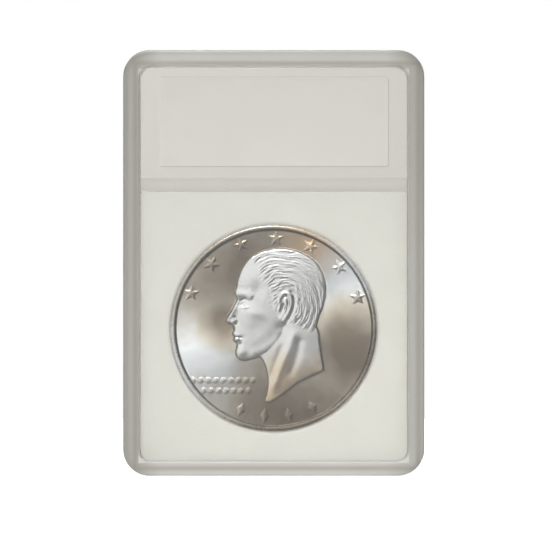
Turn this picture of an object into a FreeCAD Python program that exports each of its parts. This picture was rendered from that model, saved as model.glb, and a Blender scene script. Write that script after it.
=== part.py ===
import FreeCAD, Part
import os

# Snap-together display slab for one large coin, standing upright.
#
# Millimetres. X is the width, Z is up towards the label end, and the front faces -Y. The origin is
# on the bottom edge, midway across the width and the depth. Two clear moulded shells close on each
# other with a tongue and groove that runs round the rim. Between them lie a foam insert with a round
# hole, the coin in that hole, and a blank label card in its own bay above a divider.

V = FreeCAD.Vector

# The closed slab; its depth follows from the coin, the windows and the rims
SLAB_WIDTH = 59.0
SLAB_HEIGHT = 83.4
OUTER_CORNER_R = 5.2
ARRIS_ROUND = 0.45           # rounding of the outer edge, front and back
PARTING_BEVEL = 0.12         # small bevel where the two shells meet, seen as the parting line
PARTING_GAP = 0.06           # the shells' rims stop this far apart

# Rims, windows and the space between them
SIDE_WALL = 3.3
TOP_WALL = 3.3
BOTTOM_WALL = 2.85
RIM_STEP = 0.8               # the rims stand this far proud of the windows
RIM_SLOPE = 0.35             # run of the rim's inner slope
WINDOW = 1.4
CAVITY_CORNER_R = 2.2

# Tongue of the back shell, groove of the front shell
TONGUE_INSET = 1.0           # from the outer edge
TONGUE_WIDTH = 1.0
TONGUE_HEIGHT = 1.0          # beyond the parting plane
TONGUE_SIDE_CLEARANCE = 0.05
TONGUE_END_CLEARANCE = 0.1

# Divider between the label bay and the coin bay
COIN_BAY_HEIGHT = 52.85      # the label bay takes what is left above the divider
DIVIDER_WIDTH = 2.6
BACK_DIVIDER_WIDTH = 0.95

# Recess in the front window that the label card lies in, and the frame behind the card
POCKET_SIDE_MARGIN = 3.7     # from the sides of the label bay
POCKET_TOP_MARGIN = 1.9      # from the top of the label bay
POCKET_BOTTOM_MARGIN = 2.3   # from the divider
POCKET_DEPTH = 0.35
POCKET_DRAFT = 0.05          # run of the recess's sides, so that it leaves the mould
POCKET_CORNER_R = 0.4
LABEL_THICKNESS = 0.3
LABEL_SIDE_CLEARANCE = 0.15
LABEL_FACE_CLEARANCE = 0.03
PRESS_FRAME_INSET = 0.9      # from the card's edge
PRESS_FRAME_WALL = 0.9
PRESS_FRAME_CLEARANCE = 0.05

# Foam insert and coin
COIN_DIAMETER = 40.6
COIN_THICKNESS = 2.9
COIN_RIM_WIDTH = 0.9
COIN_FIELD_DEPTH = 0.45      # the fields lie this far below the rims
COIN_BEVEL = 0.15
COIN_FACE_CLEARANCE = 0.35   # from each window
COIN_HOLE_CLEARANCE = 0.15   # radial
COIN_DROP = 0.35             # coin's centre below the insert's centre
INSERT_SIDE_CLEARANCE = 0.2
INSERT_FACE_CLEARANCE = 0.1
INSERT_TOP_CORNER_R = 0.4

# Places worked out from the sizes above
BACK_INNER = COIN_THICKNESS / 2 + COIN_FACE_CLEARANCE
FRONT_INNER = -BACK_INNER
BACK = BACK_INNER + WINDOW + RIM_STEP
FRONT = -BACK
FRONT_PARTING = -PARTING_GAP / 2
BACK_PARTING = PARTING_GAP / 2
DIVIDER_BOTTOM = BOTTOM_WALL + COIN_BAY_HEIGHT
DIVIDER_TOP = DIVIDER_BOTTOM + DIVIDER_WIDTH
POCKET_HALF_WIDTH = SLAB_WIDTH / 2 - SIDE_WALL - POCKET_SIDE_MARGIN
POCKET_BOTTOM = DIVIDER_TOP + POCKET_BOTTOM_MARGIN
POCKET_TOP = SLAB_HEIGHT - TOP_WALL - POCKET_TOP_MARGIN
LABEL_FRONT = FRONT_INNER - POCKET_DEPTH + LABEL_FACE_CLEARANCE
PRESS_FRAME_FRONT = LABEL_FRONT + LABEL_THICKNESS + PRESS_FRAME_CLEARANCE
INSERT_BOTTOM = BOTTOM_WALL + INSERT_SIDE_CLEARANCE
INSERT_TOP = DIVIDER_BOTTOM - INSERT_SIDE_CLEARANCE
COIN_MIDDLE = (INSERT_BOTTOM + INSERT_TOP) / 2 - COIN_DROP


def rounded_outline(left, right, bottom, top, lower_r, upper_r, y):
    """Closed wire of a rectangle with rounded corners, in the plane at depth y."""
    corners = [
        (left, bottom, lower_r, (0, 1), (1, 0)),
        (right, bottom, lower_r, (-1, 0), (0, 1)),
        (right, top, upper_r, (0, -1), (-1, 0)),
        (left, top, upper_r, (1, 0), (0, -1)),
    ]
    arcs, ends = [], []
    middle_of_arc = 1 - 0.5 ** 0.5
    for x, z, r, before, after in corners:
        start = V(x + before[0] * r, y, z + before[1] * r)
        finish = V(x + after[0] * r, y, z + after[1] * r)
        inward_x = (before[0] + after[0]) * r * middle_of_arc
        inward_z = (before[1] + after[1]) * r * middle_of_arc
        arcs.append(Part.Arc(start, V(x + inward_x, y, z + inward_z), finish).toShape())
        ends.append((start, finish))
    edges = []
    for i, arc in enumerate(arcs):
        edges.append(arc)
        edges.append(Part.LineSegment(ends[i][1], ends[(i + 1) % len(ends)][0]).toShape())
    return Part.Wire(edges)


def prism(outline, depth):
    return Part.Face(outline).extrude(V(0, depth, 0))


def inset_outline(inset, y):
    """The slab's outer outline, moved inwards all round."""
    half = SLAB_WIDTH / 2 - inset
    r = OUTER_CORNER_R - inset
    return rounded_outline(-half, half, inset, SLAB_HEIGHT - inset, r, r, y)


def cavity_outline(grow, y):
    """The inner edge of the rim, moved outwards by grow."""
    half = SLAB_WIDTH / 2 - SIDE_WALL + grow
    r = CAVITY_CORNER_R + grow
    return rounded_outline(-half, half, BOTTOM_WALL - grow, SLAB_HEIGHT - TOP_WALL + grow, r, r, y)


def pocket_outline(grow, y):
    """Outline of the label recess, moved outwards by grow; its corners never get sharper."""
    half = POCKET_HALF_WIDTH + grow
    r = POCKET_CORNER_R + max(grow, 0)
    return rounded_outline(-half, half, POCKET_BOTTOM - grow, POCKET_TOP + grow, r, r, y)


def edges_at(shape, y):
    return [e for e in shape.Edges if all(abs(v.Point.y - y) < 1e-6 for v in e.Vertexes)]


def tray(face_y, parting_y, inner_y):
    """One shell before its details: outer block, window recess with sloped rim, and cavity."""
    inwards = 1 if face_y < parting_y else -1
    block = prism(inset_outline(0, face_y), parting_y - face_y)
    block = block.makeFillet(ARRIS_ROUND, edges_at(block, face_y))
    block = block.makeChamfer(PARTING_BEVEL, edges_at(block, parting_y))
    window_y = face_y + inwards * RIM_STEP
    recess = Part.makeLoft([cavity_outline(RIM_SLOPE, face_y), cavity_outline(0, window_y)], True, True)
    cavity = prism(cavity_outline(0, inner_y), parting_y - inner_y)
    return block.cut(recess).cut(cavity)


def rim_ring(side_clearance, y, depth):
    """Ring that runs round the rim: the tongue itself, or the space that it enters."""
    outer = prism(inset_outline(TONGUE_INSET - side_clearance, y), depth)
    inner = prism(inset_outline(TONGUE_INSET + TONGUE_WIDTH + side_clearance, y), depth)
    return outer.cut(inner)


def divider(width, y, depth):
    """Bar across the cavity; its lower side is where the insert ends."""
    span = SLAB_WIDTH - 2 * SIDE_WALL
    return Part.makeBox(span, abs(depth), width, V(-span / 2, min(y, y + depth), DIVIDER_BOTTOM))


def front_shell():
    shell = tray(FRONT, FRONT_PARTING, FRONT_INNER)
    shell = shell.fuse(divider(DIVIDER_WIDTH, FRONT_INNER, FRONT_PARTING - FRONT_INNER))
    groove_depth = TONGUE_HEIGHT + TONGUE_END_CLEARANCE - BACK_PARTING
    groove = rim_ring(TONGUE_SIDE_CLEARANCE, FRONT_PARTING - groove_depth, groove_depth)
    floor = pocket_outline(0, FRONT_INNER - POCKET_DEPTH)
    mouth = pocket_outline(POCKET_DRAFT, FRONT_INNER)
    pocket = Part.makeLoft([floor, mouth], True, True)
    return shell.cut(groove).cut(pocket).removeSplitter()


def back_shell():
    shell = tray(BACK, BACK_PARTING, BACK_INNER)
    shell = shell.fuse(divider(BACK_DIVIDER_WIDTH, BACK_INNER, BACK_PARTING - BACK_INNER))
    shell = shell.fuse(rim_ring(0, -TONGUE_HEIGHT, TONGUE_HEIGHT + BACK_PARTING))
    depth = BACK_INNER - PRESS_FRAME_FRONT
    inset = LABEL_SIDE_CLEARANCE + PRESS_FRAME_INSET
    frame = prism(pocket_outline(-inset, PRESS_FRAME_FRONT), depth)
    hollow = prism(pocket_outline(-inset - PRESS_FRAME_WALL, PRESS_FRAME_FRONT), depth)
    return shell.fuse(frame.cut(hollow)).removeSplitter()


def coin_insert():
    half = SLAB_WIDTH / 2 - SIDE_WALL - INSERT_SIDE_CLEARANCE
    front = FRONT_INNER + INSERT_FACE_CLEARANCE
    depth = BACK_INNER - INSERT_FACE_CLEARANCE - front
    lower_r = CAVITY_CORNER_R - INSERT_SIDE_CLEARANCE
    outline = rounded_outline(-half, half, INSERT_BOTTOM, INSERT_TOP, lower_r, INSERT_TOP_CORNER_R, front)
    hole_r = COIN_DIAMETER / 2 + COIN_HOLE_CLEARANCE
    hole = Part.makeCylinder(hole_r, depth, V(0, front, COIN_MIDDLE), V(0, 1, 0))
    return prism(outline, depth).cut(hole)


def coin():
    """Blank coin turned about its axis: two sunk fields between raised, bevelled rims."""
    edge = COIN_DIAMETER / 2
    field = edge - COIN_RIM_WIDTH
    half = COIN_THICKNESS / 2
    sunk = half - COIN_FIELD_DEPTH
    profile = [
        (0, -sunk), (field - COIN_FIELD_DEPTH, -sunk), (field, -half), (edge - COIN_BEVEL, -half),
        (edge, -half + COIN_BEVEL), (edge, half - COIN_BEVEL), (edge - COIN_BEVEL, half),
        (field, half), (field - COIN_FIELD_DEPTH, sunk), (0, sunk),
    ]
    points = [V(x, y, COIN_MIDDLE) for x, y in profile]
    section = Part.Face(Part.makePolygon(points + points[:1]))
    return section.revolve(V(0, 0, COIN_MIDDLE), V(0, 1, 0), 360)


def label_card():
    return prism(pocket_outline(-LABEL_SIDE_CLEARANCE, LABEL_FRONT), LABEL_THICKNESS)


os.makedirs("parts", exist_ok=True)
for piece in (front_shell, back_shell, coin_insert, coin, label_card):
    shape = piece()
    solid = shape.Solids[0]
    print(piece.__name__, "solids", len(shape.Solids), "volume", round(solid.Volume, 1), "valid", solid.isValid())
    solid.exportStep("parts/" + piece.__name__ + ".step")
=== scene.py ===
import math

import bmesh
import bpy
import numpy as np
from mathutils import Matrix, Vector


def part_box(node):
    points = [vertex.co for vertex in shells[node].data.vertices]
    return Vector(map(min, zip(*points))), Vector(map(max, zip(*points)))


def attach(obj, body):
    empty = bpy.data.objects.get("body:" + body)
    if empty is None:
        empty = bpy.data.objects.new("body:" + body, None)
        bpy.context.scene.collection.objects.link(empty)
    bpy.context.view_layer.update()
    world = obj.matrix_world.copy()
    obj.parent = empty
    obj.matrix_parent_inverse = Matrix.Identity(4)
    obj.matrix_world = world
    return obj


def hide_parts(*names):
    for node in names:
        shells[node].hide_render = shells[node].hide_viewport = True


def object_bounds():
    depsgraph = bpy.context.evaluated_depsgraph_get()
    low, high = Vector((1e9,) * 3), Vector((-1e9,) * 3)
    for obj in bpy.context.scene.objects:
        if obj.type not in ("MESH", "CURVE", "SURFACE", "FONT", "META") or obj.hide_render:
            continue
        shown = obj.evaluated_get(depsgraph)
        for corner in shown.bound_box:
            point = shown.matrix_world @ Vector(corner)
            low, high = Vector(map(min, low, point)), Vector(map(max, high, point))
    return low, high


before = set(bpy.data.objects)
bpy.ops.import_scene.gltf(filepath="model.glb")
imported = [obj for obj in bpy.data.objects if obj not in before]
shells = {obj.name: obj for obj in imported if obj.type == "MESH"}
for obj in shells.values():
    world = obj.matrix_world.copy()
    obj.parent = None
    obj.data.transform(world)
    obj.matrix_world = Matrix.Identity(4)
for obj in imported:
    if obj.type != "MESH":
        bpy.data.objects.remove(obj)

MM = 0.001
CAD_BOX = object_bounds()
SLAB_LOW, SLAB_HIGH = (Vector(corner) / MM for corner in CAD_BOX)
COIN_LOW, COIN_HIGH = (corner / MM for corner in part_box("coin"))
INSERT_LOW, INSERT_HIGH = (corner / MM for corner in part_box("coin_insert"))

# Millimetres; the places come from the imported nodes' boxes
COIN_MIDDLE = (COIN_LOW + COIN_HIGH) / 2
COIN_R = (COIN_HIGH.x - COIN_LOW.x) / 2
COIN_HALF = (COIN_HIGH.y - COIN_LOW.y) / 2

# Coin relief, above the sunk fields
RIM_HEIGHT = 0.45
HEAD_RELIEF = 0.42
MOTIF_RELIEF = 0.16
FIELD, FROSTED, BURNISHED = range(3)   # the coin's material slots
FIELD_EDGE = 1.2             # from the coin's edge to the foot of the rim
REEDS = 200
REED_DEPTH = 0.09
HEAD_SIZE = 1.10             # height of the head, in coin radii
HEAD_PLACE = (0.03, 0.23)    # middle of the head, in coin radii from the coin's
RIM_FOOT = 0.952             # foot of the rim, in coin radii
MIN_RELIEF = 0.03            # what stands higher than this has its own finish
OBVERSE_RINGS = 125          # finer than the reverse, which carries less detail
REVERSE_RINGS = 70

# Foam insert
LIP_WIDTH = 0.85             # the die presses the edge of the hole down over this width
LIP_DEPTH = 0.55
HOLE_CLEARANCE = 0.15
FOAM_LOWER_CORNER = 2.0
FOAM_UPPER_CORNER = 0.4
FOAM_EDGE_ROUND = 0.1
FOAM_SPREAD = 0.17           # the soft block spreads this far into the clearance round it

# Shells
POLYSTYRENE_IOR = 1.59
INSERT_CLEARANCE = 0.2       # between the foam and the walls
BORDER = 3.3                 # width of the satin border at the top
CAVITY_CORNER = 2.2
DIVIDER_WIDTH = 2.6
JOINT_LINE = 2.35            # the painted shade of the joint lies this far in from the edge


# ---------------------------------------------------------------- colours and nodes

def colour(hex_code):
    """sRGB hex to the linear RGBA that shaders use."""
    parts = [int(hex_code[i:i + 2], 16) / 255 for i in (1, 3, 5)]
    linear = [c / 12.92 if c <= 0.04045 else ((c + 0.055) / 1.055) ** 2.4 for c in parts]
    return (*linear, 1.0)


def per(size_mm):
    """Texture scale that makes a pattern repeat about every size_mm."""
    return 1 / (size_mm * MM)


def add(tree, kind, inputs=None, **settings):
    """Add a node with its settings; inputs give each socket a value, or an output to link from."""
    made = tree.nodes.new(kind)
    for name, value in settings.items():
        setattr(made, name, value)
    for name, value in (inputs or {}).items():
        socket = made.inputs[name]
        if isinstance(value, bpy.types.NodeSocket):
            tree.links.new(value, socket)
        else:
            socket.default_value = value
    return made


def new_material(name):
    """An empty node material, its node tree and its output node."""
    material = bpy.data.materials.new(name)
    material.use_nodes = True
    material.node_tree.nodes.clear()
    return material, material.node_tree, add(material.node_tree, "ShaderNodeOutputMaterial")


# ---------------------------------------------------------------- materials

def lets_lamps_through(tree, plastic, passed):
    """The plastic for every ray but those from lamps, which pass with the colour given."""
    lamp_side = add(tree, "ShaderNodeBsdfTransparent", {"Color": colour(passed)})
    ray = add(tree, "ShaderNodeLightPath")
    return add(tree, "ShaderNodeMixShader", {
        0: ray.outputs["Is Shadow Ray"], 1: plastic.outputs[0], 2: lamp_side.outputs[0]})


def polished_polystyrene():
    """Crystal polystyrene moulded against polished steel: glass-clear, with sharp reflections, but
    tinted darker than the real plastic, as painted shade on all that is seen through it.
    """
    material, tree, output = new_material("polished_clear_polystyrene")
    plastic = add(tree, "ShaderNodeBsdfPrincipled", {
        "Base Color": colour("#e4e2dd"), "Roughness": 0.0, "IOR": POLYSTYRENE_IOR,
        "Transmission Weight": 1.0})
    both = lets_lamps_through(tree, plastic, "#f0f0ee")
    tree.links.new(both.outputs[0], output.inputs["Surface"])
    return material


def inset_from_edges(tree, parts, bottom, top, left, right):
    """How far in from the slab's nearest edge, once each edge is moved out by some millimetres."""
    starts = [
        ("Z", 1, bottom),
        ("Z", -1, SLAB_HIGH.z + top),
        ("X", 1, SLAB_HIGH.x + left),
        ("X", -1, SLAB_HIGH.x + right),
    ]
    nearest = 1.0   # a metre, more than any inset
    for axis, way, start in starts:
        inset = add(tree, "ShaderNodeMath", {
            0: parts.outputs[axis], 1: way, 2: start * MM}, operation="MULTIPLY_ADD")
        nearest = add(tree, "ShaderNodeMath", {
            0: nearest, 1: inset.outputs[0]}, operation="MINIMUM").outputs[0]
    return nearest


def satin_polystyrene():
    """The same polystyrene where the mould is bead-blasted: a frosted border, tinted a soft grey that
    paints in the shade of the dark room its walls would show.
    """
    material, tree, output = new_material("satin_clear_polystyrene")
    place = add(tree, "ShaderNodeTexCoord").outputs["Object"]
    parts = add(tree, "ShaderNodeSeparateXYZ", {0: place})
    # The blasted grain is about 0.05 mm, too fine to show, so it is drawn at 0.3 mm
    grain = add(tree, "ShaderNodeTexNoise", {"Vector": place, "Scale": per(0.3), "Detail": 2.0})
    cloud = add(tree, "ShaderNodeTexNoise", {"Vector": place, "Scale": per(9.0), "Detail": 2.0})
    tint = add(tree, "ShaderNodeMix", {
        0: cloud.outputs["Fac"], 6: colour("#c7c5be"), 7: colour("#cecdc7")}, data_type="RGBA")
    # The two long sides are painted darker, as painted shade, and less so at the lower right, where
    # painted light lifts them
    across = add(tree, "ShaderNodeMath", {0: parts.outputs["X"]}, operation="ABSOLUTE")
    long_side = add(tree, "ShaderNodeMapRange", {
        "Value": across.outputs[0], "From Min": 22.0 * MM, "From Max": 26.5 * MM})
    lean = add(tree, "ShaderNodeMath", {
        0: parts.outputs["Z"], 1: -0.5, 2: parts.outputs["X"]}, operation="MULTIPLY_ADD")
    lower_right_light = add(tree, "ShaderNodeMapRange", {
        "Value": lean.outputs[0], "From Min": -4.0 * MM, "From Max": 7.0 * MM})
    side_shade_tint = add(tree, "ShaderNodeMix", {
        0: lower_right_light.outputs[0], 6: colour("#afada4"), 7: colour("#b5b4ad")}, data_type="RGBA")
    tint = add(tree, "ShaderNodeMix", {
        0: long_side.outputs[0], 6: tint.outputs[2], 7: side_shade_tint.outputs[2]}, data_type="RGBA")
    # Where the tongue and groove lie inside, a soft grey line is painted round the border as painted
    # shade in the frosted wall. It lies nearer to the edge along the bottom, where the wall is
    # narrower, and down the right side, and further in along the top, where it paints a shadow under
    # the top edge
    inset = inset_from_edges(tree, parts, bottom=0.85, top=-0.25, left=0.0, right=1.1)
    off_line = add(tree, "ShaderNodeMath", {0: inset, 1: JOINT_LINE * MM}, operation="SUBTRACT")
    off_line = add(tree, "ShaderNodeMath", {0: off_line.outputs[0]}, operation="ABSOLUTE")
    joint_shade = add(tree, "ShaderNodeMapRange", {
        "Value": off_line.outputs[0], "From Min": 0.75 * MM, "From Max": 0.1 * MM, "To Max": 0.65})
    tint = add(tree, "ShaderNodeMix", {
        0: joint_shade.outputs[0], 6: tint.outputs[2], 7: colour("#979389")}, data_type="RGBA")
    # The divider and the inner slopes of the long sides are drawn lighter
    inner = inset_from_edges(tree, parts, bottom=0.85, top=-0.25, left=0.4, right=0.4)
    inner = add(tree, "ShaderNodeMapRange", {
        "Value": inner, "From Min": BORDER * MM, "From Max": (BORDER + 0.2) * MM})
    tint = add(tree, "ShaderNodeMix", {
        0: inner.outputs[0], 6: tint.outputs[2], 7: colour("#d9d8d3")}, data_type="RGBA")
    rough = add(tree, "ShaderNodeMapRange", {
        "Value": grain.outputs["Fac"], "To Min": 0.28, "To Max": 0.34})
    bump = add(tree, "ShaderNodeBump", {
        "Height": grain.outputs["Fac"], "Strength": 0.12, "Distance": 0.02 * MM})
    plastic = add(tree, "ShaderNodeBsdfPrincipled", {
        "Base Color": tint.outputs[2], "Roughness": rough.outputs[0], "IOR": POLYSTYRENE_IOR,
        "Transmission Weight": 0.65, "Normal": bump.outputs[0]})
    both = lets_lamps_through(tree, plastic, "#d8d8d4")
    tree.links.new(both.outputs[0], output.inputs["Surface"])
    return material


def eva_foam():
    """Closed-cell EVA foam, skived and die-cut: matt and off-white, with fine cells on its faces."""
    material, tree, output = new_material("closed_cell_eva_foam")
    place = add(tree, "ShaderNodeTexCoord").outputs["Object"]
    # Cells are about 0.15 mm, drawn at 0.35 mm so that they show
    cells = add(tree, "ShaderNodeTexVoronoi", {"Vector": place, "Scale": per(0.35)})
    cloud = add(tree, "ShaderNodeTexNoise", {"Vector": place, "Scale": per(6.0), "Detail": 3.0})
    tint = add(tree, "ShaderNodeMix", {
        0: cloud.outputs["Fac"], 6: colour("#dbdcd8"), 7: colour("#e3e4e1")}, data_type="RGBA")
    # The hollows of the cells are painted a little darker: painted shade
    pit_shade = add(tree, "ShaderNodeMapRange", {
        "Value": cells.outputs["Distance"], "From Max": 0.5, "To Min": 0.94})
    shaded = add(tree, "ShaderNodeVectorMath", {
        0: tint.outputs[2], "Scale": pit_shade.outputs[0]}, operation="SCALE")
    rough = add(tree, "ShaderNodeMapRange", {
        "Value": cloud.outputs["Fac"], "To Min": 0.8, "To Max": 0.95})
    bump = add(tree, "ShaderNodeBump", {
        "Height": cells.outputs["Distance"], "Strength": 0.35, "Distance": 0.05 * MM})
    foam = add(tree, "ShaderNodeBsdfPrincipled", {
        "Base Color": shaded.outputs[0], "Roughness": rough.outputs[0], "IOR": 1.48,
        "Normal": bump.outputs[0]})
    tree.links.new(foam.outputs[0], output.inputs["Surface"])
    return material


def uncoated_card():
    """Uncoated white card, cut from a pressed sheet: matt, with faint fibres and a soft mottle."""
    material, tree, output = new_material("uncoated_white_card")
    place = add(tree, "ShaderNodeTexCoord").outputs["Object"]
    # Fibres lie mostly across the card. They are about 0.03 mm thick, and drawn coarser so as to show
    lying = add(tree, "ShaderNodeMapping", {"Vector": place, "Scale": (1.0, 1.0, 3.5)})
    fibres = add(tree, "ShaderNodeTexNoise", {
        "Vector": lying.outputs[0], "Scale": per(0.9), "Detail": 5.0})
    mottle = add(tree, "ShaderNodeTexNoise", {"Vector": place, "Scale": per(4.0), "Detail": 2.0})
    tint = add(tree, "ShaderNodeMix", {
        0: mottle.outputs["Fac"], 6: colour("#d7d6d3"), 7: colour("#dcdcd9")}, data_type="RGBA")
    rough = add(tree, "ShaderNodeMapRange", {
        "Value": fibres.outputs["Fac"], "To Min": 0.7, "To Max": 0.85})
    bump = add(tree, "ShaderNodeBump", {
        "Height": fibres.outputs["Fac"], "Strength": 0.25, "Distance": 0.03 * MM})
    card = add(tree, "ShaderNodeBsdfPrincipled", {
        "Base Color": tint.outputs[2], "Roughness": rough.outputs[0], "Normal": bump.outputs[0]})
    tree.links.new(card.outputs[0], output.inputs["Surface"])
    return material


def coin_place(tree):
    """Places on the coin, in coin radii from its middle."""
    point = add(tree, "ShaderNodeTexCoord").outputs["Object"]
    middle = COIN_MIDDLE / COIN_R
    scaled = add(tree, "ShaderNodeMapping", {
        "Vector": point, "Location": -middle, "Scale": (1 / (COIN_R * MM),) * 3})
    return scaled.outputs[0]


def toned_with_foot_shade(tree, place):
    """Colour of silver that air has toned in soft smudges, tan in one place near the top, with a dark
    line painted at the foot of the rim as shade.
    """

    def near(x, z, reach, most=1.0):
        gap = add(tree, "ShaderNodeVectorMath", {0: place, 1: (x, 0.0, z)}, operation="DISTANCE")
        return add(tree, "ShaderNodeMapRange", {
            "Value": gap.outputs["Value"], "From Min": reach, "From Max": 0.0,
            "To Max": most}).outputs[0]

    # Each smudge's place and reach, in coin radii, and how dark it is
    smudges = [
        (-0.34, 0.6, 0.95, 0.72),
        (-0.48, 0.06, 0.36, 1.0),
        (0.78, -0.22, 0.65, 1.0),
        (0.15, -1.0, 0.95, 1.0),
    ]
    darkest = 0.0
    for smudge in smudges:
        darkest = add(tree, "ShaderNodeMath", {
            0: darkest, 1: near(*smudge)}, operation="MAXIMUM").outputs[0]
    cloud = add(tree, "ShaderNodeTexNoise", {
        "Vector": place, "Scale": 2.6, "Detail": 3.0, "Roughness": 0.6})
    toning = add(tree, "ShaderNodeMath", {
        0: cloud.outputs["Fac"], 1: 0.6, 2: darkest}, operation="MULTIPLY_ADD")
    ramp = add(tree, "ShaderNodeValToRGB", {"Fac": toning.outputs[0]})
    palest, deepest = ramp.color_ramp.elements
    palest.position = 0.3
    palest.color = colour("#ecf0f5")
    deepest.color = colour("#8f8270")
    ramp.color_ramp.elements.new(0.6).color = colour("#cbc3b6")
    tan = add(tree, "ShaderNodeMath", {0: near(0.36, 0.84, 0.4), 1: 0.9}, operation="MULTIPLY")
    mixed = add(tree, "ShaderNodeMix", {
        0: tan.outputs[0], 6: ramp.outputs[0], 7: colour("#eccaa2")}, data_type="RGBA")
    # A dark line is painted at the foot of the rim: painted shade in the crease there
    flat = add(tree, "ShaderNodeVectorMath", {0: place, 1: (1.0, 0.0, 1.0)}, operation="MULTIPLY")
    radius = add(tree, "ShaderNodeVectorMath", {0: flat.outputs[0]}, operation="LENGTH")
    off_foot = add(tree, "ShaderNodeMath", {
        0: radius.outputs["Value"], 1: RIM_FOOT}, operation="SUBTRACT")
    off_foot = add(tree, "ShaderNodeMath", {0: off_foot.outputs[0]}, operation="ABSOLUTE")
    foot_shade = add(tree, "ShaderNodeMapRange", {
        "Value": off_foot.outputs[0], "From Min": 0.018, "From Max": 0.004, "To Max": 0.85})
    mixed = add(tree, "ShaderNodeMix", {
        0: foot_shade.outputs[0], 6: mixed.outputs[2], 7: colour("#5f574d")}, data_type="RGBA")
    return mixed.outputs[2]


def struck_field():
    """Silver struck between polished dies: radial flow lines spread each light into a cartwheel."""
    material, tree, output = new_material("struck_silver_field")
    place = coin_place(tree)
    # Flow lines run out from the middle, under 0.1 mm apart; drawn about 0.4 mm apart at the rim
    heading = add(tree, "ShaderNodeVectorMath", {0: place}, operation="NORMALIZE").outputs[0]
    flow = add(tree, "ShaderNodeTexNoise", {"Vector": heading, "Scale": 45.0, "Detail": 2.0})
    # Broader rays, where the metal flowed more, scatter wider
    rays = add(tree, "ShaderNodeTexNoise", {"Vector": heading, "Scale": 5.0, "Detail": 3.0})
    rough = add(tree, "ShaderNodeMapRange", {
        "Value": rays.outputs["Fac"], "From Min": 0.3, "From Max": 0.7, "To Min": 0.32, "To Max": 0.48})
    bump = add(tree, "ShaderNodeBump", {
        "Height": flow.outputs["Fac"], "Strength": 0.03, "Distance": 0.02 * MM})
    turning = add(tree, "ShaderNodeTangent", direction_type="RADIAL", axis="Y")
    silver = add(tree, "ShaderNodeBsdfPrincipled", {
        "Base Color": toned_with_foot_shade(tree, place), "Metallic": 1.0, "Roughness": rough.outputs[0],
        "Anisotropic": 0.9, "Normal": bump.outputs[0], "Tangent": turning.outputs[0]})
    tree.links.new(silver.outputs[0], output.inputs["Surface"])
    return material


def burnished_rim():
    """Silver squeezed into the collar and the die's small cuts: smooth, with sharp bright edges."""
    material, tree, output = new_material("burnished_silver_rim")
    place = coin_place(tree)
    # Fine nicks and rubs, about 0.6 mm apart
    rubs = add(tree, "ShaderNodeTexNoise", {"Vector": place, "Scale": COIN_R / 0.6, "Detail": 3.0})
    rough = add(tree, "ShaderNodeMapRange", {
        "Value": rubs.outputs["Fac"], "To Min": 0.22, "To Max": 0.36})
    bump = add(tree, "ShaderNodeBump", {
        "Height": rubs.outputs["Fac"], "Strength": 0.08, "Distance": 0.02 * MM})
    silver = add(tree, "ShaderNodeBsdfPrincipled", {
        "Base Color": toned_with_foot_shade(tree, place), "Metallic": 1.0, "Roughness": rough.outputs[0],
        "Normal": bump.outputs[0]})
    tree.links.new(silver.outputs[0], output.inputs["Surface"])
    return material


def frosted_relief():
    """Silver that the sand-blasted hollows of the die leave frosted: pale, with soft highlights."""
    material, tree, output = new_material("frosted_silver_relief")
    place = coin_place(tree)
    # Handling has toned the lower part, towards the neck
    cloud = add(tree, "ShaderNodeTexNoise", {"Vector": place, "Scale": 3.0, "Detail": 3.0})
    height = add(tree, "ShaderNodeSeparateXYZ", {0: place}).outputs["Z"]
    height = add(tree, "ShaderNodeMath", {0: height, 1: cloud.outputs["Fac"]}, operation="ADD")
    low = add(tree, "ShaderNodeMapRange", {
        "Value": height.outputs[0], "From Min": 0.35, "From Max": -0.1})
    tint = add(tree, "ShaderNodeMix", {
        0: low.outputs[0], 6: colour("#f6f9fc"), 7: colour("#ecd9be")}, data_type="RGBA")
    # A dark line is painted low down, round the foot of the relief: painted shade
    struck = add(tree, "ShaderNodeAttribute", attribute_name="relief")
    foot_shade = add(tree, "ShaderNodeMapRange", {
        "Value": struck.outputs["Fac"], "From Min": 0.15 * MM, "From Max": 0.05 * MM, "To Max": 0.85})
    tint = add(tree, "ShaderNodeMix", {
        0: foot_shade.outputs[0], 6: tint.outputs[2], 7: colour("#6f675c")}, data_type="RGBA")
    # The frost's grain is about 0.02 mm, drawn at 0.25 mm
    frost = add(tree, "ShaderNodeTexNoise", {"Vector": place, "Scale": COIN_R / 0.25, "Detail": 2.0})
    rough = add(tree, "ShaderNodeMapRange", {
        "Value": frost.outputs["Fac"], "To Min": 0.21, "To Max": 0.29})
    # Light makes more of the struck relief than its low height would: its slopes count double
    steeper = add(tree, "ShaderNodeBump", {
        "Height": struck.outputs["Fac"], "Strength": 1.0, "Distance": 1.0})
    bump = add(tree, "ShaderNodeBump", {
        "Height": frost.outputs["Fac"], "Strength": 0.15, "Distance": 0.02 * MM,
        "Normal": steeper.outputs[0]})
    silver = add(tree, "ShaderNodeBsdfPrincipled", {
        "Base Color": tint.outputs[2], "Metallic": 1.0, "Roughness": rough.outputs[0],
        "Normal": bump.outputs[0]})
    tree.links.new(silver.outputs[0], output.inputs["Surface"])
    return material


def dress(obj, *materials):
    """Give an object these materials in their order, in place of any that it has."""
    obj.data.materials.clear()
    for material in materials:
        obj.data.materials.append(material)


def beyond_bays(x, z):
    """How far a place lies outside the rounded outline of the two bays, less than 0 within it."""
    low, high = INSERT_LOW.z - INSERT_CLEARANCE, SLAB_HIGH.z - BORDER
    dx = abs(x) - (INSERT_HIGH.x + INSERT_CLEARANCE - CAVITY_CORNER)
    dz = abs(z - (low + high) / 2) - ((high - low) / 2 - CAVITY_CORNER)
    return math.hypot(max(dx, 0), max(dz, 0)) + min(max(dx, dz), 0) - CAVITY_CORNER


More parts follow.
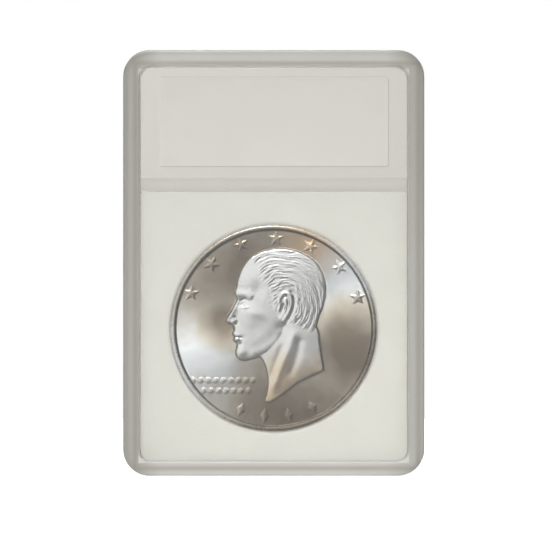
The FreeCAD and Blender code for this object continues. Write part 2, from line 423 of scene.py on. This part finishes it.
def dress_shell(shell, window, border, divider_too):
    """Window material over the bays and in the joint; border material elsewhere."""
    dress(shell, window, border)
    divider_bottom = INSERT_HIGH.z + INSERT_CLEARANCE
    divider_top = divider_bottom + DIVIDER_WIDTH
    slack = 0.02
    slope_lean = 0.06       # the rims' inner slopes lean this far over the bays, and are satin
    joint_start, joint_end, joint_depth = 0.1, 2.4, 1.0   # where the tongue and groove lie
    for face in shell.data.polygons:
        at = face.center / MM
        beyond = beyond_bays(at.x, at.z)
        faces_out = abs(face.normal.y) > 0.9
        over_bays = beyond < (0 if faces_out else -slope_lean)
        in_joint = (joint_start < beyond < joint_end
                    and abs(at.y) < INSERT_HIGH.y + joint_depth)
        on_divider = (divider_bottom - slack < at.z < divider_top + slack
                      and abs(at.y) < INSERT_HIGH.y)
        satin = not (over_bays or in_joint) or (divider_too and on_divider)
        face.material_index = 1 if satin else 0


# ---------------------------------------------------------------- heights for the coin's relief

def smooth_line(points, closed=False, steps=8):
    """A rounded line through the points, as an array of x, z rows."""
    p = np.array(points, float)
    p = np.vstack([p[-1], p, p[:2]]) if closed else np.vstack([2 * p[0] - p[1], p, 2 * p[-1] - p[-2]])
    t = np.linspace(0, 1, steps, endpoint=False)[:, None]
    parts = []
    for a, b, c, d in zip(p, p[1:], p[2:], p[3:]):
        parts.append(0.5 * (2 * b + (c - a) * t + (2 * a - 5 * b + 4 * c - d) * t ** 2
                            + (3 * b - a - 3 * c + d) * t ** 3))
    return np.vstack(parts + ([] if closed else [p[-2:-1]]))


def nearest_on(x, z, a, b):
    """How far along from a to b the nearest point lies, 0 to 1, and how far away it is."""
    step = b - a
    t = np.clip(((x - a[0]) * step[0] + (z - a[1]) * step[1]) / max(step @ step, 1e-12), 0, 1)
    return t, np.hypot(x - a[0] - t * step[0], z - a[1] - t * step[1])


def inside_distance(x, z, line, blend=28.0):
    """Distance to a closed line, positive inside it, and the same with its creases blended away."""
    gap, near, crossings = np.full(x.shape, np.inf), np.zeros(x.shape), np.zeros(x.shape, int)
    for a, b in zip(line, np.roll(line, -1, axis=0)):
        step = b - a
        _, here = nearest_on(x, z, a, b)
        gap = np.minimum(gap, here)
        near += np.exp(-blend * here) * math.hypot(*step)
        spans = (a[1] > z) != (b[1] > z)
        rise = step[1] if step[1] else 1e-12
        crossings += spans & (x < a[0] + (z - a[1]) * step[0] / rise)
    typical = math.sqrt(blend / (2 * math.pi * 0.1))
    soft = -np.log(np.maximum(near * typical, 1e-30)) / blend
    inside = crossings % 2 == 1
    return np.where(inside, gap, -gap), np.where(inside, np.maximum(soft, 0), 0)


def ease(t):
    """Smooth step from 0 to 1 while t goes from 0 to 1."""
    t = np.clip(t, 0, 1)
    return t * t * (3 - 2 * t)


def dome(x, z, middle, radii, turn=0.0):
    """A soft round hill, 1 high, on an ellipse turned by some degrees."""
    c, s = math.cos(math.radians(turn)), math.sin(math.radians(turn))
    dx, dz = x - middle[0], z - middle[1]
    r2 = ((c * dx + s * dz) / radii[0]) ** 2 + ((c * dz - s * dx) / radii[1]) ** 2
    return np.exp(-1.6 * r2)


def stroke(x, z, width, points, fade=0.15):
    """A rounded ridge 1 high along a line, thinning out over its ends."""
    line = smooth_line(points)
    best, share = np.full(x.shape, np.inf), np.zeros(x.shape)
    for i, (a, b) in enumerate(zip(line, line[1:])):
        t, gap = nearest_on(x, z, a, b)
        nearer = gap < best
        best, share = np.where(nearer, gap, best), np.where(nearer, (i + t) / (len(line) - 1), share)
    return np.exp(-(best / width) ** 2) * ease(share / fade) * ease((1 - share) / fade)


def ripple(x, z, seed, waves=7):
    """Smooth random waves between about -1 and 1, the same each time for a seed."""
    rng = np.random.default_rng(seed)
    total = 0
    for _ in range(waves):
        angle, phase = rng.uniform(0, 2 * math.pi, 2)
        pace = rng.uniform(0.6, 1.6)
        total = total + np.sin(pace * (x * math.cos(angle) + z * math.sin(angle)) + phase)
    return total / math.sqrt(waves)


def swell(inside, soft, lip, width):
    """Height of a struck form inside its outline: a steep lip, then a long round rise."""
    t = np.clip(soft / width, 0, 1)
    return ease(inside / lip) * (0.48 + 0.52 * (1 - (1 - t) ** 2.2))


# ---------------------------------------------------------------- the head, in head heights

HEAD = [(0.02, 0.5), (-0.12, 0.478), (-0.235, 0.418), (-0.308, 0.33), (-0.35, 0.23),
        (-0.366, 0.15), (-0.378, 0.098), (-0.36, 0.042), (-0.39, -0.02), (-0.424, -0.08),
        (-0.456, -0.13), (-0.448, -0.163), (-0.398, -0.186), (-0.386, -0.222), (-0.402, -0.258),
        (-0.382, -0.285), (-0.392, -0.314), (-0.36, -0.355), (-0.372, -0.42), (-0.348, -0.478),
        (-0.29, -0.503), (-0.18, -0.478), (-0.06, -0.42), (0.035, -0.335), (0.085, -0.25),
        (0.15, -0.235), (0.25, -0.27), (0.335, -0.24), (0.375, -0.12), (0.428, 0.02),
        (0.44, 0.14), (0.415, 0.27), (0.34, 0.385), (0.22, 0.462), (0.11, 0.495)]
NECK = [(-0.2, -0.4), (-0.135, -0.49), (-0.1, -0.58), (-0.088, -0.68), (-0.1, -0.78), (-0.115, -0.845),
        (-0.085, -0.872), (-0.02, -0.852), (0.1, -0.765), (0.2, -0.69), (0.31, -0.635), (0.408, -0.59),
        (0.418, -0.55), (0.4, -0.44), (0.385, -0.32), (0.36, -0.2), (0.2, 0.0), (0.0, -0.1)]
HAIR = [(-0.215, 0.47), (-0.235, 0.395), (-0.19, 0.33), (-0.165, 0.26), (-0.125, 0.2), (-0.085, 0.14),
        (-0.055, 0.08), (-0.045, 0.0), (-0.03, -0.07), (0.005, -0.06), (0.02, 0.03), (0.05, 0.115),
        (0.11, 0.125), (0.15, 0.06), (0.145, -0.05), (0.12, -0.13), (0.13, -0.2), (0.2, -0.26),
        (0.3, -0.3), (0.4, -0.28), (0.5, 0.0), (0.5, 0.35), (0.3, 0.56), (0.0, 0.58)]

# Each dome is height, middle, radii, turn; each stroke is height, width, points. Sunk where negative.
NECK_STROKES = [
    (0.13, 0.04, [(0.16, -0.2), (0.11, -0.38), (0.03, -0.56), (-0.06, -0.8)]),
    (-0.08, 0.03, [(0.06, -0.34), (0.0, -0.5), (-0.06, -0.68)]),
    (-0.09, 0.035, [(0.21, -0.28), (0.18, -0.45), (0.1, -0.66)]),
]
FACE_DOMES = [
    # forehead and temple
    (0.05, (-0.25, 0.22), (0.11, 0.1), 20),
    (-0.09, (-0.165, 0.125), (0.07, 0.085), 15),
    # socket, eyeball and pupil
    (-0.22, (-0.296, 0.012), (0.075, 0.046), 8),
    (-0.06, (-0.338, 0.022), (0.03, 0.05), 0),
    (0.13, (-0.284, -0.002), (0.04, 0.033), 0),
    (-0.04, (-0.308, -0.003), (0.011, 0.014), 0),
    # tip and wing of the nose, nostril
    (0.10, (-0.43, -0.138), (0.032, 0.03), 0),
    (0.15, (-0.384, -0.15), (0.03, 0.028), 0),
    (-0.15, (-0.407, -0.178), (0.02, 0.0095), -12),
    # mouth and chin
    (0.08, (-0.355, -0.28), (0.06, 0.075), 0),
    (-0.06, (-0.302, -0.3), (0.017, 0.022), 0),
    (0.12, (-0.325, -0.43), (0.06, 0.052), 0),
    # cheekbone, hollow of the cheek, corner of the jaw
    (0.12, (-0.205, -0.075), (0.12, 0.052), -22),
    (-0.08, (-0.185, -0.225), (0.09, 0.085), -35),
    (0.06, (-0.03, -0.19), (0.075, 0.11), 0),
]
FACE_STROKES = [
    # brow, and the dip above it
    (0.10, 0.027, [(-0.372, 0.078), (-0.33, 0.094), (-0.27, 0.088), (-0.205, 0.045)]),
    (-0.03, 0.025, [(-0.36, 0.125), (-0.3, 0.14), (-0.23, 0.13)]),
    # upper lid and its fold, lower lid and its fold
    (0.065, 0.0085, [(-0.326, 0.0), (-0.306, 0.023), (-0.27, 0.022), (-0.232, -0.006)]),
    (-0.05, 0.0085, [(-0.322, 0.022), (-0.298, 0.045), (-0.26, 0.044), (-0.22, 0.014)]),
    (0.04, 0.007, [(-0.318, -0.018), (-0.296, -0.03), (-0.264, -0.028), (-0.236, -0.01)]),
    (-0.035, 0.012, [(-0.32, -0.042), (-0.285, -0.056), (-0.24, -0.044)]),
    # bridge of the nose, crease round its wing
    (0.15, 0.032, [(-0.35, 0.05), (-0.374, -0.02), (-0.405, -0.085), (-0.43, -0.13)]),
    (-0.10, 0.0095, [(-0.38, -0.104), (-0.35, -0.128), (-0.344, -0.16), (-0.362, -0.186)]),
    # lips, the line between them, the dip under them
    (0.07, 0.0135, [(-0.405, -0.262), (-0.37, -0.264), (-0.325, -0.284)]),
    (0.08, 0.016, [(-0.396, -0.314), (-0.365, -0.312), (-0.328, -0.3)]),
    (-0.13, 0.0075, [(-0.398, -0.287), (-0.365, -0.286), (-0.335, -0.291), (-0.305, -0.295)]),
    (-0.08, 0.019, [(-0.37, -0.353), (-0.34, -0.357), (-0.295, -0.345)]),
    # edge of the jaw
    (0.09, 0.046, [(-0.26, -0.452), (-0.12, -0.405), (0.0, -0.315), (0.045, -0.2)]),
]
EAR_DOMES = [
    (0.11, (0.072, -0.02), (0.07, 0.135), -12),
    (-0.20, (0.056, -0.03), (0.026, 0.046), -12),
    (0.09, (0.02, -0.042), (0.014, 0.02), 0),
    (0.09, (0.042, -0.12), (0.026, 0.034), 0),
]
EAR_STROKES = [
    (0.16, 0.0145, [(0.018, -0.005), (0.028, 0.055), (0.062, 0.098), (0.108, 0.085), (0.128, 0.03),
                    (0.118, -0.035), (0.092, -0.09), (0.062, -0.14), (0.036, -0.155)]),
    (-0.10, 0.009, [(0.05, 0.06), (0.085, 0.062), (0.102, 0.02), (0.09, -0.035)]),
    (0.08, 0.009, [(0.062, 0.045), (0.082, 0.01), (0.079, -0.04), (0.058, -0.085)]),
    (-0.10, 0.013, [(0.1, 0.128), (0.15, 0.075), (0.15, -0.02), (0.114, -0.112), (0.07, -0.18)]),
]


def modelling(x, z, domes, strokes):
    """Sum of raised and sunk domes and strokes."""
    total = np.zeros(x.shape)
    for height, middle, radii, turn in domes:
        total += height * dome(x, z, middle, radii, turn)
    for height, width, points in strokes:
        total += height * stroke(x, z, width, points)
    return total


def hair_strands(x, z):
    """Fine cropped locks that run round the head from the forehead over the crown to the nape."""
    dx, dz = x - 0.045, z + 0.03
    around, angle = np.hypot(dx, 0.96 * dz), np.arctan2(dz, dx)
    flow = around + 0.014 * ripple(14 * x, 14 * z, 3)
    flow = flow + 0.006 * ripple(5 * angle + 40 * around, 30 * x, 11)
    locks = np.sin(2 * math.pi * flow / 0.062 + 1.3 * ripple(11 * angle, 26 * around, 8))
    strands = np.sin(2 * math.pi * flow / 0.0245 + 0.9 * ripple(18 * angle, 40 * around, 5))
    broken = 0.6 + 0.4 * ripple(26 * angle, 60 * around, 9)
    return 0.42 * locks + 0.58 * strands * broken


def head_height(x, z):
    """Height of the bust, 0 to about 1, over places in head heights from the middle of the head."""
    neck_in, neck_soft = inside_distance(x, z, smooth_line(NECK, closed=True))
    head_in, head_soft = inside_distance(x, z, smooth_line(HEAD, closed=True))
    hair_in, _ = inside_distance(x, z, smooth_line(HAIR, closed=True))
    neck = 0.60 * swell(neck_in, neck_soft, 0.022, 0.26)
    neck = neck + 0.8 * modelling(x, z, [], NECK_STROKES) * ease(neck_in / 0.04)
    head = 0.68 * swell(head_in, head_soft, 0.024, 0.3)
    head = head + modelling(x, z, FACE_DOMES, FACE_STROKES) * ease(head_in / 0.022)
    haired = ease(hair_in / 0.04) * ease((head_in + 0.01) / 0.03)
    head = head + haired * (0.04 + 0.052 * hair_strands(x, z))
    head = head + 1.2 * modelling(x, z, EAR_DOMES, EAR_STROKES) * ease(head_in / 0.03)
    return np.maximum(np.where(neck_in > 0, neck, 0), np.where(head_in > 0, head, 0))


# ---------------------------------------------------------------- motifs and the two faces of the coin

def at_angle(radius, degrees):
    """The x and z of a place at this radius and angle."""
    return radius * math.cos(math.radians(degrees)), radius * math.sin(math.radians(degrees))


def star(x, z, middle, radius, degrees):
    """A five-pointed star with a ridge along each point, 1 high in its middle."""
    dx, dz = x - middle[0], z - middle[1]
    sector = 2 * math.pi / 5
    turned = (np.arctan2(dz, dx) - math.radians(degrees)) % sector
    folded = np.minimum(turned, sector - turned)
    notch = 0.42 * radius
    notch_x, notch_z = notch * math.cos(sector / 2), notch * math.sin(sector / 2)
    edge = radius * notch_z / (notch_z * np.cos(folded) + (radius - notch_x) * np.sin(folded))
    return np.maximum(1 - np.hypot(dx, dz) / edge, 0)


def lozenge(x, z, middle, half_width, half_height, degrees):
    """An upright four-sided point, 1 high, leaning with the edge of the coin."""
    c, s = math.cos(math.radians(degrees)), math.sin(math.radians(degrees))
    dx, dz = x - middle[0], z - middle[1]
    outward, along = abs(c * dx + s * dz), abs(c * dz - s * dx)
    return np.maximum(1 - along / half_width - outward / half_height, 0)


def steep_sided(height):
    """The same form with steep sides and a flatter top."""
    return np.minimum(2.2 * height, 0.6 + 0.4 * height)


def bead(x, z, middle, radius):
    """A round bead, 1 high."""
    dx, dz = x - middle[0], z - middle[1]
    return np.sqrt(np.maximum(1 - (dx ** 2 + dz ** 2) / radius ** 2, 0))


def leaf(x, z, middle, length, width, degrees):
    """A pointed leaf with a sunk midrib."""
    c, s = math.cos(math.radians(degrees)), math.sin(math.radians(degrees))
    dx, dz = x - middle[0], z - middle[1]
    along, across = (c * dx + s * dz) / length, abs(c * dz - s * dx) / width
    body = np.maximum(1 - along ** 2 - across, 0)
    return ease(body / 0.6) * (1 - 0.35 * np.exp(-(across / 0.12) ** 2))


STAR_RADIUS, STAR_RING = 1.8, 0.865         # rings are in coin radii
LOZENGE_HALF_SIZES, LOZENGE_RING = (0.95, 1.6), 0.85
ROW_BEAD_RADIUS = 0.62
BEAD_ROWS = [
    # how many beads, and where the row starts, ends and lies, in coin radii
    (9, -0.78, -0.2, -0.505),
    (7, -0.68, -0.245, -0.605),
]
WREATH_RING, LEAF_LENGTH, LEAF_WIDTH, LEAF_LEAN = 0.64, 2.3, 0.85, 26
BORDER_BEAD_RADIUS, BORDER_BEAD_RING = 0.5, 0.885


def obverse_height(x, z):
    """Millimetres above the field of the bust, and of the stars, lozenges and beads round it."""
    head_x, head_z = (share * COIN_R for share in HEAD_PLACE)
    head_size = HEAD_SIZE * COIN_R
    bust = HEAD_RELIEF * head_height((x - head_x) / head_size, (z - head_z) / head_size)
    motifs = np.zeros(x.shape)
    for degrees in np.linspace(157, 20, 7):
        found = star(x, z, at_angle(STAR_RING * COIN_R, degrees), STAR_RADIUS, degrees)
        motifs = np.maximum(motifs, steep_sided(found))
    for degrees in np.linspace(248, 296, 4):
        place = at_angle(LOZENGE_RING * COIN_R, degrees)
        found = lozenge(x, z, place, *LOZENGE_HALF_SIZES, degrees)
        motifs = np.maximum(motifs, steep_sided(found))
    for count, left, right, level in BEAD_ROWS:
        for share in np.linspace(left, right, count):
            found = bead(x, z, (share * COIN_R, level * COIN_R), ROW_BEAD_RADIUS)
            motifs = np.maximum(motifs, 0.6 * found)
    return bust, MOTIF_RELIEF * motifs


def reverse_height(x, z):
    """Millimetres above the field: a star in a laurel wreath, within a ring of beads."""
    motifs = 1.25 * star(x, z, (0, 0), 0.36 * COIN_R, 90)
    wreath = WREATH_RING * COIN_R
    for side in (-1, 1):
        for step in range(12):
            degrees = -78 + 12.2 * step
            for lean, outward in ((LEAF_LEAN, 1.25), (-LEAF_LEAN, -1.25)):
                place = at_angle(wreath + outward, degrees)
                found = leaf(side * x, z, place, LEAF_LENGTH, LEAF_WIDTH, degrees + 90 - lean)
                motifs = np.maximum(motifs, found)
    stem = np.exp(-((np.hypot(x, z) - wreath) / 0.28) ** 2) * (z < 0.55 * COIN_R)
    motifs = np.maximum(motifs, 0.6 * stem)
    for degrees in np.arange(0, 360, 6):
        place = at_angle(BORDER_BEAD_RING * COIN_R, degrees)
        motifs = np.maximum(motifs, 0.7 * bead(x, z, place, BORDER_BEAD_RADIUS))
    return 1.3 * MOTIF_RELIEF * motifs, np.zeros(x.shape)


# ---------------------------------------------------------------- the coin

def disc(rings, radius):
    """Round patch of quads: x, z of its points, its faces, and its outermost ring in order of angle."""
    steps = np.arange(-rings, rings + 1) / rings
    u, v = (grid.ravel() for grid in np.meshgrid(steps, steps, indexing="ij"))
    wide = np.abs(u) > np.abs(v)
    long_side = np.where(wide, u, v)
    short_side = np.where(wide, v, u)
    lean = math.pi / 4 * short_side / np.where(long_side == 0, 1, long_side)
    angle = np.where(wide, lean, math.pi / 2 - lean)
    x, z = radius * long_side * np.cos(angle), radius * long_side * np.sin(angle)
    side = 2 * rings + 1
    index = np.arange(side * side).reshape(side, side)
    corners = [index[:-1, :-1], index[1:, :-1], index[1:, 1:], index[:-1, 1:]]
    faces = np.stack(corners, -1).reshape(-1, 4)
    ring = np.concatenate([index[-1, :-1], index[:0:-1, -1], index[0, :0:-1], index[:-1, 0]])
    return x, z, faces, ring


def ring_angles(count):
    """Angles of a disc's outermost ring, which starts at the lower right."""
    return -math.pi / 4 + 2 * math.pi * np.arange(count) / count


def strip(first, second):
    """Faces between two closed rings, with any number of points each."""
    faces, i, j = [], 0, 0
    n, m = len(first), len(second)
    while i < n or j < m:
        a, b = int(first[i % n]), int(second[j % m])
        next_a, next_b = int(first[(i + 1) % n]), int(second[(j + 1) % m])
        if n == m:
            faces.append((a, next_a, next_b, b))
            i, j = i + 1, j + 1
        elif j == m or (i < n and (i + 1) / n <= (j + 1) / m):
            faces.append((a, next_a, b))
            i += 1
        else:
            faces.append((a, next_b, b))
            j += 1
    return faces


def make_coin(*finishes):
    """Struck coin: obverse and reverse relief, rounded rims and a reeded edge, as one closed mesh."""
    sunk = COIN_HALF - RIM_HEIGHT
    points, relief, faces, finish = [], [], [], []

    def ring_at(radius, y, count):
        start = sum(len(p) for p in points)
        angle = ring_angles(count)
        level = np.full(count, y)
        points.append(np.column_stack([radius * np.cos(angle), level, radius * np.sin(angle)]))
        relief.append(np.zeros(count))
        return np.arange(start, start + count)

    # In from the edge, and up from the field: the rim's inner fillet, its flat and its outer rounding
    rim = [(1.12, 0.03), (1.03, 0.14), (0.95, 0.30), (0.87, 0.41), (0.78, 0.45), (0.45, 0.45),
           (0.28, 0.42), (0.14, 0.34), (0.04, 0.2)]
    sides = ((-1, OBVERSE_RINGS, obverse_height), (1, REVERSE_RINGS, reverse_height))
    previous = None
    for toward, rings, height in sides:
        start = sum(len(p) for p in points)
        x, z, quads, edge_ring = disc(rings, COIN_R - FIELD_EDGE)
        main, small = height(x if toward < 0 else -x, z)
        relief.append(np.maximum(main, small))
        points.append(np.column_stack([x, toward * (sunk + relief[-1]), z]))
        faces += [tuple(q) for q in (quads + start).tolist()]
        frosted, burnished = (h[quads].mean(axis=1) > MIN_RELIEF for h in (main, small))
        finish += np.where(frosted, FROSTED, np.where(burnished, BURNISHED, FIELD)).tolist()
        rows = [edge_ring + start]
        rows += [ring_at(COIN_R - inward, toward * (sunk + up), len(edge_ring)) for inward, up in rim]
        for inner, outer in zip(rows, rows[1:]):
            found = strip(inner, outer)
            faces += found
            finish += [BURNISHED] * len(found)
        if previous is None:
            angle = ring_angles(len(edge_ring))
            reeded = COIN_R - REED_DEPTH * (0.5 - 0.5 * np.cos(REEDS * angle))
            front = ring_at(reeded, -sunk - 0.1, len(edge_ring))
            back = ring_at(reeded, sunk + 0.1, len(edge_ring))
            found = strip(rows[-1], front) + strip(front, back)
            previous = back
        else:
            found = strip(previous, rows[-1])
        faces += found
        finish += [BURNISHED] * len(found)

    mesh = bpy.data.meshes.new("struck_coin")
    placed = (np.vstack(points) + np.array(COIN_MIDDLE)) * MM
    mesh.from_pydata(placed.tolist(), [], faces)
    mesh.polygons.foreach_set("use_smooth", [True] * len(faces))
    turn_faces_outward(mesh)
    struck = mesh.attributes.new("relief", "FLOAT", "POINT")
    struck.data.foreach_set("value", np.concatenate(relief) * MM)
    coin = bpy.data.objects.new("struck_coin", mesh)
    bpy.context.scene.collection.objects.link(coin)
    dress(coin, *finishes)
    mesh.polygons.foreach_set("material_index", finish)
    mesh.update()
    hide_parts("coin")
    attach(coin, "coin")


def turn_faces_outward(mesh):
    """Turn every face of a closed mesh outwards."""
    bm = bmesh.new()
    bm.from_mesh(mesh)
    bmesh.ops.recalc_face_normals(bm, faces=bm.faces)
    bm.to_mesh(mesh)
    bm.free()


# ---------------------------------------------------------------- the foam insert

def foam_outline(inset):
    """Outer edge of the foam moved inwards, as x, z rows, anticlockwise from the lower right corner."""
    inset = inset - FOAM_SPREAD
    left, right = INSERT_LOW.x + inset, INSERT_HIGH.x - inset
    bottom, top = INSERT_LOW.z + inset, INSERT_HIGH.z - inset
    corners = [(right, bottom, -90, FOAM_LOWER_CORNER), (right, top, 0, FOAM_UPPER_CORNER),
               (left, top, 90, FOAM_UPPER_CORNER), (left, bottom, 180, FOAM_LOWER_CORNER)]
    arcs = []
    for x, z, start, corner in corners:
        r = max(corner - inset, 0.05)
        cx, cz = x - math.copysign(r, x), z - math.copysign(r, z - (bottom + top) / 2)
        angles = np.radians(np.linspace(start, start + 90, 9))
        arcs.append(np.column_stack([cx + r * np.cos(angles), cz + r * np.sin(angles)]))
    rows = []
    for arc, following in zip(arcs, arcs[1:] + arcs[:1]):
        rows.append(arc)
        share = np.linspace(0, 1, 48)[1:-1, None]
        rows.append(arc[-1] + share * (following[0] - arc[-1]))
    return np.vstack(rows)


def make_insert(foam):
    """Foam block with a round hole, whose edge the cutting die has pressed down, front and back."""
    outer, inner = foam_outline(0), foam_outline(FOAM_EDGE_ROUND)
    hole = COIN_R + HOLE_CLEARANCE
    middle = np.array([COIN_MIDDLE.x, COIN_MIDDLE.z])
    away = outer - middle
    direction = away / np.linalg.norm(away, axis=1)[:, None]
    front, back = INSERT_LOW.y, INSERT_HIGH.y

    def at(flat, y):
        return np.column_stack([flat[:, 0], np.full(len(flat), y), flat[:, 1]])

    rows = [at(outer, back - FOAM_EDGE_ROUND), at(outer, front + FOAM_EDGE_ROUND)]
    rows.append(at(inner * 0.3 + outer * 0.7, front + 0.3 * FOAM_EDGE_ROUND))
    rows.append(at(inner, front))
    lip = middle + direction * (hole + LIP_WIDTH)
    for share in (0.33, 0.67):
        rows.append(at(inner + share * (lip - inner), front))
    quarter = np.linspace(0, math.pi / 2, 8)
    for y, inwards in ((front, 1), (back, -1)):
        steps = quarter if inwards > 0 else quarter[::-1]
        for turn in steps:
            radius = hole + LIP_WIDTH * (1 - math.sin(turn))
            rows.append(at(middle + direction * radius, y + inwards * LIP_DEPTH * (1 - math.cos(turn))))
    for share in (0.67, 0.33):
        rows.append(at(inner + share * (lip - inner), back))
    rows.append(at(inner, back))
    rows.append(at(inner * 0.3 + outer * 0.7, back - 0.3 * FOAM_EDGE_ROUND))

    count = len(outer)
    faces = []
    for i in range(len(rows)):
        first = np.arange(count) + i * count
        second = np.arange(count) + (i + 1) % len(rows) * count
        faces += strip(first, second)
    mesh = bpy.data.meshes.new("foam_insert")
    mesh.from_pydata((np.vstack(rows) * MM).tolist(), [], faces)
    mesh.polygons.foreach_set("use_smooth", [True] * len(faces))
    mesh.update()
    turn_faces_outward(mesh)
    mesh.set_sharp_from_angle(angle=math.radians(40))
    insert = bpy.data.objects.new("foam_insert", mesh)
    bpy.context.scene.collection.objects.link(insert)
    dress(insert, foam)
    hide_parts("coin_insert")
    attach(insert, "insert")


# ---------------------------------------------------------------- camera, floor and light

def make_camera():
    """Straight on to the front window, from far enough away that the depth hardly shows."""
    middle = (SLAB_LOW + SLAB_HIGH) / 2 * MM
    distance = 1.0
    frame_width = 108.65 * MM
    data = bpy.data.cameras.new("camera")
    data.sensor_width = 36
    data.lens = 36 * distance / frame_width
    data.clip_end = 50
    camera = bpy.data.objects.new("camera", data)
    to_right, down = 0.74 * MM, 2.84 * MM
    camera.location = (middle.x + to_right, SLAB_LOW.y * MM - distance, middle.z - down)
    camera.rotation_euler = (math.radians(90), 0, 0)
    bpy.context.scene.collection.objects.link(camera)
    bpy.context.scene.camera = camera


def make_floor():
    """White table, small enough that its edge isn't seen through the slab."""
    bm = bmesh.new()
    bmesh.ops.create_grid(bm, x_segments=8, y_segments=8, size=0.4)
    mesh = bpy.data.meshes.new("floor")
    bm.to_mesh(mesh)
    bm.free()
    floor = bpy.data.objects.new("floor", mesh)
    bpy.context.scene.collection.objects.link(floor)
    material, tree, output = new_material("white_table")
    glow = add(tree, "ShaderNodeEmission", {"Color": (1, 1, 1, 1), "Strength": 0.95})
    paper = add(tree, "ShaderNodeBsdfDiffuse", {"Color": (0.5, 0.5, 0.5, 1)})
    both = add(tree, "ShaderNodeAddShader", {0: glow.outputs[0], 1: paper.outputs[0]})
    tree.links.new(both.outputs[0], output.inputs["Surface"])
    dress(floor, material)
    floor.visible_glossy = False
    floor.visible_transmission = False


def make_world():
    """White backdrop where it is seen directly or through the plastic, and a dimmer room to mirror."""
    world = bpy.data.worlds.new("studio")
    world.use_nodes = True
    tree = world.node_tree
    tree.nodes.clear()
    ray = add(tree, "ShaderNodeLightPath")
    heading = add(tree, "ShaderNodeTexCoord").outputs["Generated"]
    direction = add(tree, "ShaderNodeSeparateXYZ", {0: heading})
    # Matt surfaces are lit most from below, off the table
    up = add(tree, "ShaderNodeMapRange", {
        "Value": direction.outputs["Z"], "From Min": -0.35, "From Max": 0.25})
    lit = add(tree, "ShaderNodeMix", {
        0: up.outputs[0], 6: (2.0, 1.98, 2.03, 1), 7: (1.1, 1.1, 1.14, 1)}, data_type="RGBA")
    # Glossy surfaces mirror a room that is bright at the upper left and dark towards the lower right,
    # with paler walls far over on that side and behind
    toward = add(tree, "ShaderNodeVectorMath", {0: heading, 1: (-0.7, 0, 0.7)}, operation="DOT_PRODUCT")
    bright = add(tree, "ShaderNodeMapRange", {
        "Value": toward.outputs["Value"], "From Min": -0.18, "From Max": 0.07})
    far_wall = add(tree, "ShaderNodeMapRange", {
        "Value": toward.outputs["Value"], "From Min": -0.4, "From Max": -0.75})
    behind = add(tree, "ShaderNodeMapRange", {
        "Value": direction.outputs["Y"], "From Min": 0.3, "From Max": 0.6})
    paler = add(tree, "ShaderNodeMath", {0: far_wall.outputs[0], 1: behind.outputs[0]}, operation="ADD")
    dark_side = add(tree, "ShaderNodeMix", {
        0: paler.outputs[0], 6: (0.1, 0.09, 0.08, 1), 7: (0.4, 0.4, 0.41, 1)}, data_type="RGBA")
    mirrored = add(tree, "ShaderNodeMix", {
        0: bright.outputs[0], 6: dark_side.outputs[2], 7: (1.42, 1.45, 1.5, 1)}, data_type="RGBA")
    seen = add(tree, "ShaderNodeMath", {
        0: ray.outputs["Is Camera Ray"], 1: ray.outputs["Is Transmission Ray"]}, operation="MAXIMUM")
    unseen = add(tree, "ShaderNodeMath", {0: 1.0, 1: seen.outputs[0]}, operation="SUBTRACT")
    scattered = add(tree, "ShaderNodeMath", {
        0: ray.outputs["Diffuse Depth"], 1: unseen.outputs[0]}, operation="MAXIMUM")
    plain = add(tree, "ShaderNodeMix", {
        0: scattered.outputs[0], 6: (1, 1, 1, 1), 7: lit.outputs[2]}, data_type="RGBA")
    shade = add(tree, "ShaderNodeMix", {
        0: ray.outputs["Glossy Depth"], 6: plain.outputs[2], 7: mirrored.outputs[2]}, data_type="RGBA")
    # Dark flags at both sides darken the plastic's edges
    sideways = add(tree, "ShaderNodeMath", {0: direction.outputs["X"]}, operation="ABSOLUTE")
    flag = add(tree, "ShaderNodeMapRange", {
        "Value": sideways.outputs[0], "From Min": 0.5, "From Max": 0.9, "To Min": 1.0, "To Max": 0.3})
    open_side = add(tree, "ShaderNodeMath", {
        0: flag.outputs[0], 1: ray.outputs["Is Camera Ray"]}, operation="MAXIMUM")
    sky = add(tree, "ShaderNodeBackground", {
        "Color": shade.outputs[2], "Strength": open_side.outputs[0]})
    add(tree, "ShaderNodeOutputWorld", {"Surface": sky.outputs[0]})
    bpy.context.scene.world = world


def add_softbox(name, place, size, watts, tint=(1, 1, 1), mirrored=True, lights_matt=True):
    """A rectangular lamp aimed at the slab, which may stay out of mirrors or off matt surfaces."""
    data = bpy.data.lights.new(name, "AREA")
    data.shape = "RECTANGLE"
    data.size, data.size_y = size
    data.energy = watts
    data.color = tint
    lamp = bpy.data.objects.new(name, data)
    lamp.location = place
    lamp.visible_glossy = mirrored
    lamp.visible_transmission = mirrored
    lamp.visible_diffuse = lights_matt
    slab_middle = Vector((0, 0, 0.04))
    aim = slab_middle - Vector(place)
    lamp.rotation_euler = aim.to_track_quat("-Z", "Y").to_euler()
    bpy.context.scene.collection.objects.link(lamp)


make_camera()
make_floor()
make_world()
add_softbox(
    "key_softbox", (-0.14, -0.55, 0.65), (0.36, 0.36), 4.3,
    tint=(0.94, 0.98, 1.04), lights_matt=False)
for side, y in (("front", -0.09), ("behind", 0.09)):
    add_softbox("table_bounce_" + side, (0.01, y, 0.003), (0.06, 0.006), 0.05, mirrored=False)
bpy.context.scene.view_settings.view_transform = "Standard"

window = polished_polystyrene()
border = satin_polystyrene()
dress_shell(shells["front_shell"], window, border, divider_too=True)
dress_shell(shells["back_shell"], window, border, divider_too=False)
dress(shells["label_card"], uncoated_card())
make_insert(eva_foam())
make_coin(struck_field(), frosted_relief(), burnished_rim())
